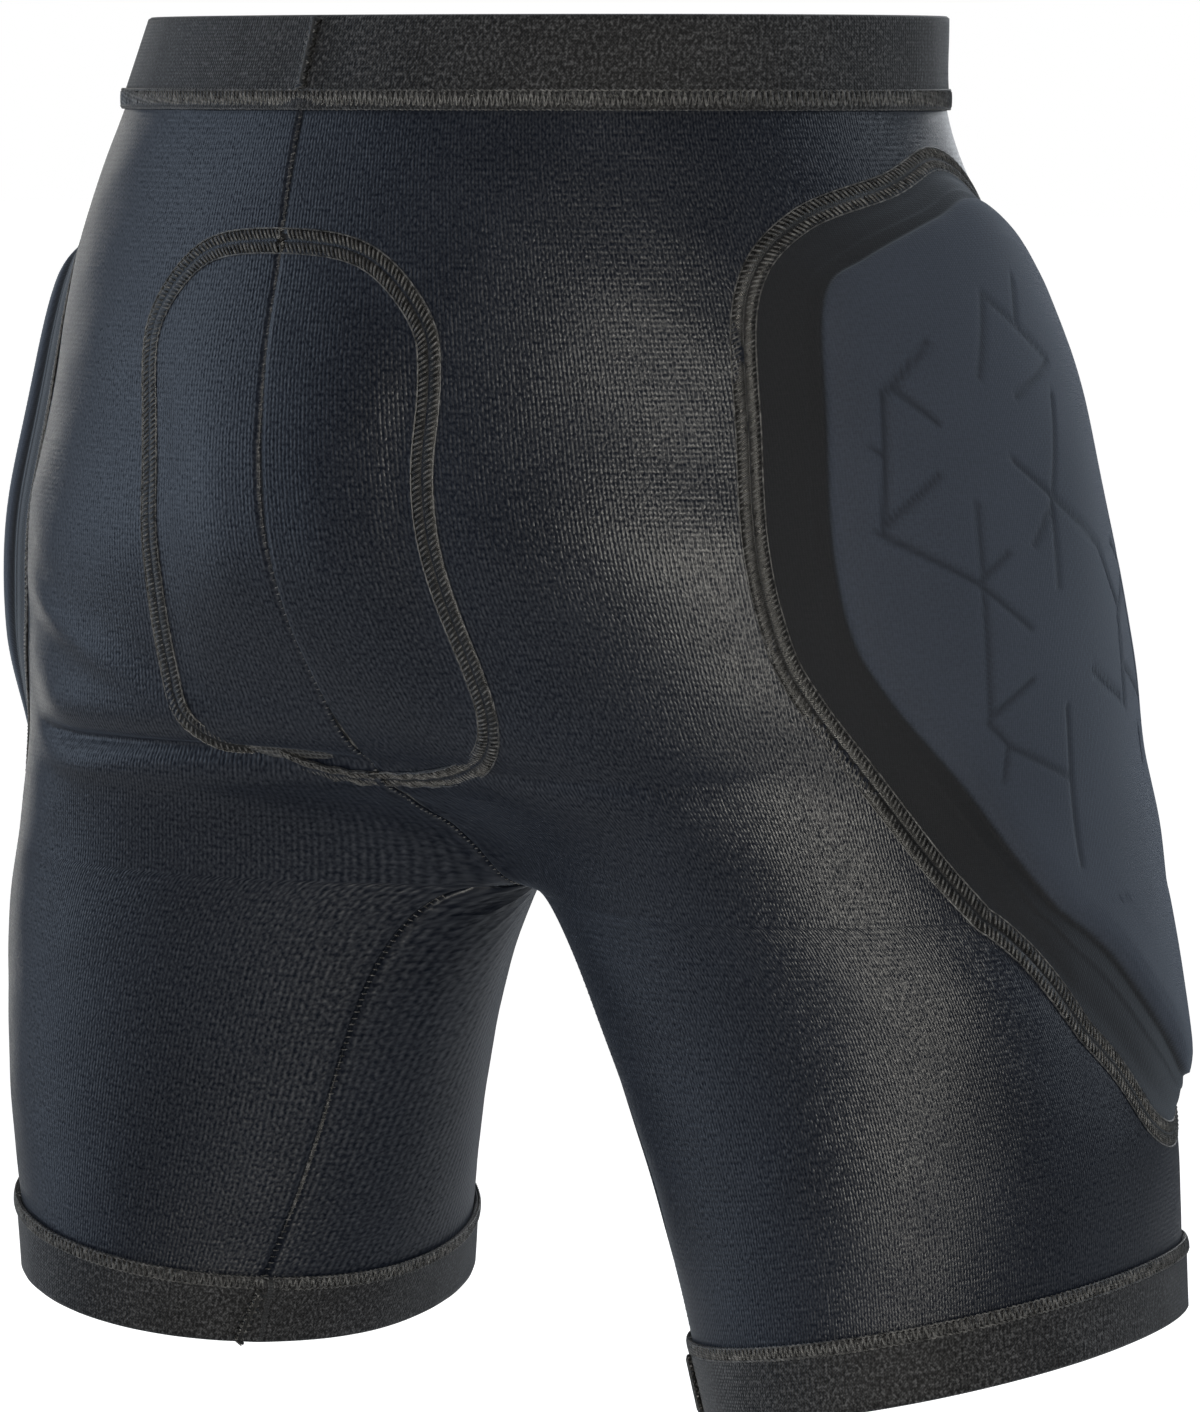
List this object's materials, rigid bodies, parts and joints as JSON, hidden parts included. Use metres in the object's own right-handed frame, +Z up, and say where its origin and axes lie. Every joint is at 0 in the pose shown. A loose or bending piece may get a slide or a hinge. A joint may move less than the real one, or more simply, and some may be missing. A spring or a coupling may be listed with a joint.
{
  "type": "padded impact shorts",
  "caption": "Close-fitting stretch shorts with elastic waist and hems, inset foam hip pads with moulded flex grooves and a sewn-in tailbone pad.",
  "frame": {"origin": "middle of the waist opening, level with the top edge of the waistband", "axes": "+Z up towards the wearer's head, -Y the wearer's front, +X the wearer's left"},
  "size_m": [0.4592, 0.2572, 0.4477],
  "materials": {
    "stretch_knit": "smooth warp knit with a soft sheen, dark navy",
    "cover_knit": "matte knit bonded over foam, bluish slate",
    "elastic": "heathered charcoal elastic webbing",
    "thread": "black flatlock and coverstitch thread",
    "lining_mesh": "fine open mesh, grey",
    "foam": "matte closed-cell foam, dark grey"
  },
  "bodies": {
    "pelvis": {"waistband_elastic": "elastic", "waistband_join_stitch": "thread", "waist_coverstitch": "thread", "centre_seam_tape": "thread", "tailbone_pad": "foam", "tailbone_pocket_lining": "lining_mesh", "tailbone_flatlock": "thread", "left_body_panel": "stretch_knit", "right_body_panel": "stretch_knit", "left_hip_cover": "cover_knit", "right_hip_cover": "cover_knit", "left_hip_pad": "foam", "right_hip_pad": "foam", "left_hip_pocket_lining": "lining_mesh", "right_hip_pocket_lining": "lining_mesh", "left_hip_flatlock": "thread", "right_hip_flatlock": "thread", "left_inseam_tape": "thread", "right_inseam_tape": "thread"},
    "left_leg": {"left_hem_elastic": "elastic", "left_hem_coverstitch": "thread", "left_hem_join_stitch": "thread"},
    "right_leg": {"right_hem_elastic": "elastic", "right_hem_coverstitch": "thread", "right_hem_join_stitch": "thread"}
  },
  "joints": [
    {"name": "left_hip_flex", "type": "hinge", "parent": "pelvis", "child": "left_leg", "pos_m": [0.105, -0.004, -0.15], "axis": [-1, 0, 0], "range_deg": [-15, 40], "stiffness_Nm_per_rad": 1.5, "deforming": ["left_body_panel", "left_hip_cover", "left_hip_pad", "left_hip_pocket_lining", "left_hip_flatlock", "left_inseam_tape"]},
    {"name": "right_hip_flex", "type": "hinge", "parent": "pelvis", "child": "right_leg", "pos_m": [-0.105, -0.004, -0.15], "axis": [-1, 0, 0], "range_deg": [-15, 40], "stiffness_Nm_per_rad": 1.5, "deforming": ["right_body_panel", "right_hip_cover", "right_hip_pad", "right_hip_pocket_lining", "right_hip_flatlock", "right_inseam_tape"]}
  ]
}
